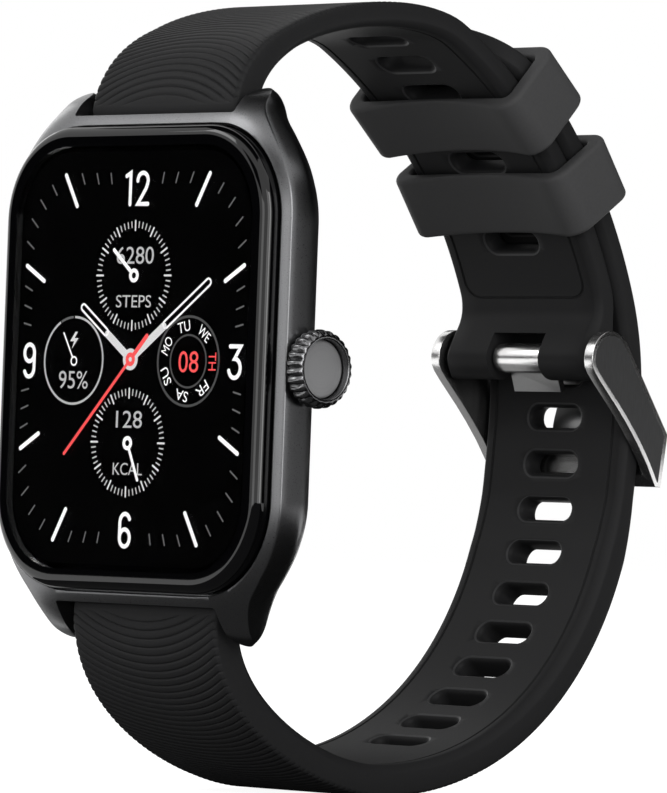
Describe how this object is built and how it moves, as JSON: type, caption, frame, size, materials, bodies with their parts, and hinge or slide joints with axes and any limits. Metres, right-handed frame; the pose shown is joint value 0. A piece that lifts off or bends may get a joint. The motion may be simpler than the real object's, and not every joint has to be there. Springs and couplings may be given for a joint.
{
  "type": "smartwatch",
  "caption": "Rectangular smartwatch with a raised glass, a turning push crown and a silicone strap closed by a pin buckle and sliding keepers.",
  "frame": {"origin": "centre of the flat sensor face on the back of the case, where the watch lies on the wrist", "axes": "+X to the crown side, +Y from the case into the wrist, +Z to twelve o'clock on the dial"},
  "size_m": [0.0386, 0.0578, 0.0699],
  "materials": {
    "anodised": "satin black anodised",
    "black_plastic": "fine matte",
    "black_glass": "polished, black printed border",
    "display": "dark panel",
    "silicone": "ribbed matte silicone",
    "keeper_rubber": "smooth matte rubber",
    "seal_rubber": "matte",
    "polished_steel": "polished",
    "steel": "plain",
    "gold_contact": "gold plated",
    "board": "solder mask",
    "battery_wrap": "foil pouch"
  },
  "bodies": {
    "case": {"case_frame": "anodised", "case_back": "black_plastic", "sensor_window": "black_glass", "charge_contact_left": "gold_contact", "charge_contact_right": "gold_contact", "back_screw_1": "steel", "back_screw_2": "steel", "back_screw_3": "steel", "back_screw_4": "steel", "back_seal": "seal_rubber", "cover_glass": "black_glass", "glass_seal": "seal_rubber", "display_panel": "display", "inner_bracket": "steel", "main_board": "board", "battery": "battery_wrap", "vibration_motor": "steel", "speaker": "black_plastic", "microphone": "steel", "sensor_board": "board", "crown_bushing": "steel", "crown_seal": "seal_rubber", "crown_switch": "black_plastic", "upper_bar_sleeve": "steel", "upper_bar_spring": "steel", "lower_bar_sleeve": "steel", "lower_bar_spring": "steel", "strap_lower": "silicone"},
    "crown_slide": {"crown_yoke": "black_plastic"},
    "crown": {"crown_knob": "anodised", "crown_cap": "anodised", "crown_shaft": "steel", "crown_clip": "steel"},
    "upper_pin": {"upper_bar_pin": "steel"},
    "lower_pin": {"lower_bar_pin": "steel"},
    "strap_12": {"strap_upper": "silicone"},
    "buckle": {"buckle_frame": "polished_steel", "heel_bar": "polished_steel"},
    "prong": {"prong": "polished_steel"},
    "keeper_a": {"keeper_upper": "keeper_rubber"},
    "keeper_b": {"keeper_lower": "keeper_rubber"}
  },
  "joints": [
    {"name": "crown_push", "type": "slide", "parent": "case", "child": "crown_slide", "axis": [-1, 0, 0], "range_m": [0, 0.00035], "stiffness_N_per_m": 1200},
    {"name": "crown_turn", "type": "hinge", "parent": "crown_slide", "child": "crown", "pos_m": [0.01955, -0.0066, -0.0006], "axis": [1, 0, 0], "continuous": true},
    {"name": "upper_release", "type": "slide", "parent": "case", "child": "upper_pin", "axis": [-1, 0, 0], "range_m": [0, 0.0014], "stiffness_N_per_m": 150, "deforming": ["upper_bar_spring"]},
    {"name": "lower_release", "type": "slide", "parent": "case", "child": "lower_pin", "axis": [-1, 0, 0], "range_m": [0, 0.0014], "stiffness_N_per_m": 150, "deforming": ["lower_bar_spring"]},
    {"name": "strap_swing", "type": "hinge", "parent": "case", "child": "strap_12", "pos_m": [0, -0.0062, 0.022], "axis": [1, 0, 0], "range_deg": [-5, 5], "stiffness_Nm_per_rad": 0.8, "deforming": ["strap_lower"]},
    {"name": "buckle_swing", "type": "hinge", "parent": "strap_12", "child": "buckle", "pos_m": [0, 0.03862, 0.00219], "axis": [1, 0, 0], "range_deg": [0, 4]},
    {"name": "prong_swing", "type": "hinge", "parent": "buckle", "child": "prong", "pos_m": [0, 0.03862, 0.00219], "axis": [1, 0, 0], "range_deg": [0, 3]},
    {"name": "keeper_upper_slide", "type": "hinge", "parent": "strap_12", "child": "keeper_a", "pos_m": [0, -0.00055, -0.0075], "axis": [1, 0, 0], "range_deg": [-2, 9]},
    {"name": "keeper_lower_slide", "type": "hinge", "parent": "strap_12", "child": "keeper_b", "pos_m": [0, -0.00055, -0.0075], "axis": [1, 0, 0], "range_deg": [-8, 2]}
  ]
}
